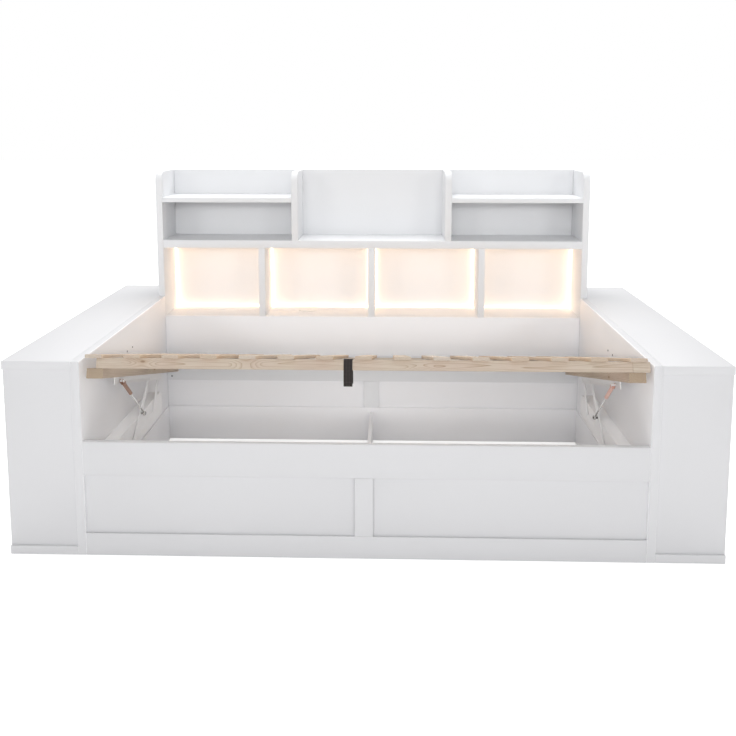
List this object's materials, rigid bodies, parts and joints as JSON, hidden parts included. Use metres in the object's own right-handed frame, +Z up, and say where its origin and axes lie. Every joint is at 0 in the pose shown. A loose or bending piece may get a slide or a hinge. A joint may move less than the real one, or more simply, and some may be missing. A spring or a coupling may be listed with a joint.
{
  "type": "storage daybed with lift-up slatted base",
  "caption": "Storage daybed: cabinet arms, lit bookcase back, low front panel, and a slatted platform lifted off a storage well by gas-sprung linkages.",
  "frame": {"origin": "on the floor at the centre of the footprint, midway between the arms and between the arms' front and back ends", "axes": "+X along the bed towards its right arm as seen from the front, +Y from the front panel to the bookcase, +Z up"},
  "size_m": [2.466, 1.3307, 1.272],
  "materials": {
    "white_board": "white satin paint on board",
    "pine": "raw sawn pine",
    "white_steel": "white powder coat",
    "dark_steel": "dark zinc",
    "rod_steel": "polished",
    "cylinder_brown": "copper brown lacquer",
    "cylinder_salmon": "salmon copper lacquer",
    "light_strip": "lit diffuser",
    "white_plastic": "moulded ABS",
    "webbing": "woven webbing"
  },
  "bodies": {
    "cabinet": {"left_arm_top": "white_board", "left_arm_bottom": "white_board", "left_arm_inner_side": "white_board", "left_arm_front_panel": "white_board", "left_arm_back_panel": "white_board", "left_arm_partitions": "white_board", "left_arm_shelves": "white_board", "left_bookcase_side": "white_board", "right_arm_top": "white_board", "right_arm_bottom": "white_board", "right_arm_inner_side": "white_board", "right_arm_front_panel": "white_board", "right_arm_back_panel": "white_board", "right_arm_partitions": "white_board", "right_arm_shelves": "white_board", "right_bookcase_side": "white_board", "bookcase_back_panel": "white_board", "long_shelf": "white_board", "lit_row_floor": "white_board", "lit_row_dividers": "white_board", "upper_dividers": "white_board", "top_shelves": "white_board", "light_strips": "light_strip", "lower_back_board": "white_board", "back_top_rail": "white_board", "back_foot_rail": "white_board", "back_centre_stile": "white_board", "back_wall_panels": "white_board", "front_top_rail": "white_board", "front_bottom_rail": "white_board", "front_centre_stile": "white_board", "front_panels": "white_board", "storage_side_boards": "white_board", "storage_divider": "white_board", "grommet_ring": "white_plastic", "grommet_cap": "white_plastic", "left_base_plate": "white_steel", "right_base_plate": "white_steel", "base_pins": "dark_steel", "cabinet_screws": "dark_steel"},
    "platform": {"left_side_rail": "pine", "right_side_rail": "pine", "front_rail": "pine", "middle_rail": "pine", "back_rail": "pine", "front_rail_end_block": "pine", "slats": "pine", "pull_strap": "webbing", "left_rail_bracket": "white_steel", "right_rail_bracket": "white_steel", "bracket_pins": "dark_steel", "bracket_screws": "dark_steel"},
    "left_front_link": {"left_front_link": "white_steel"},
    "left_rear_link": {"left_rear_link": "white_steel"},
    "left_gas_cylinder": {"left_gas_cylinder": "cylinder_brown"},
    "left_gas_rod": {"left_gas_rod": "rod_steel"},
    "right_front_link": {"right_front_link": "white_steel"},
    "right_rear_link": {"right_rear_link": "white_steel"},
    "right_gas_cylinder": {"right_gas_cylinder": "cylinder_salmon"},
    "right_gas_rod": {"right_gas_rod": "rod_steel"}
  },
  "joints": [
    {"name": "lift", "type": "hinge", "parent": "cabinet", "child": "left_front_link", "pos_m": [-0.911, -0.277, 0.2595], "axis": [1, 0, 0], "range_deg": [-27.39, 0]},
    {"name": "platform_pivot", "type": "hinge", "parent": "left_front_link", "child": "platform", "pos_m": [-0.911, -0.05924, 0.44398], "axis": [1, 0, 0], "range_deg": [0, 43.31]},
    {"name": "right_front_link_pivot", "type": "hinge", "parent": "cabinet", "child": "right_front_link", "pos_m": [0.911, -0.277, 0.2595], "axis": [1, 0, 0], "range_deg": [-27.41, 0]},
    {"name": "left_rear_link_pivot", "type": "hinge", "parent": "cabinet", "child": "left_rear_link", "pos_m": [-0.911, -0.0033, 0.2923], "axis": [1, 0, 0], "range_deg": [-47.55, 0]},
    {"name": "right_rear_link_pivot", "type": "hinge", "parent": "cabinet", "child": "right_rear_link", "pos_m": [0.911, -0.0033, 0.2923], "axis": [1, 0, 0], "range_deg": [-47.55, 0]},
    {"name": "left_gas_cylinder_pivot", "type": "hinge", "parent": "platform", "child": "left_gas_cylinder", "pos_m": [-0.896, -0.43531, 0.55319], "axis": [1, 0, 0], "range_deg": [0, 15.32]},
    {"name": "left_gas_rod_slide", "type": "slide", "parent": "left_gas_cylinder", "child": "left_gas_rod", "axis": [0, 0.7583, -0.6519], "range_m": [-0.09618, 0]},
    {"name": "right_gas_cylinder_pivot", "type": "hinge", "parent": "platform", "child": "right_gas_cylinder", "pos_m": [0.896, -0.43531, 0.55319], "axis": [1, 0, 0], "range_deg": [0, 15.32]},
    {"name": "right_gas_rod_slide", "type": "slide", "parent": "right_gas_cylinder", "child": "right_gas_rod", "axis": [0, 0.7583, -0.6519], "range_m": [-0.09618, 0]}
  ],
  "couplings": [
    {"joint": "platform_pivot", "follows": "lift", "ratio": -1.5806},
    {"joint": "right_front_link_pivot", "follows": "lift", "ratio": 1},
    {"joint": "left_rear_link_pivot", "follows": "lift", "ratio": 1.7356},
    {"joint": "right_rear_link_pivot", "follows": "lift", "ratio": 1.7356},
    {"joint": "left_gas_cylinder_pivot", "follows": "lift", "ratio": -0.55866},
    {"joint": "left_gas_rod_slide", "follows": "lift", "m_per_rad": 0.2008},
    {"joint": "right_gas_cylinder_pivot", "follows": "lift", "ratio": -0.55866},
    {"joint": "right_gas_rod_slide", "follows": "lift", "m_per_rad": 0.2008}
  ]
}
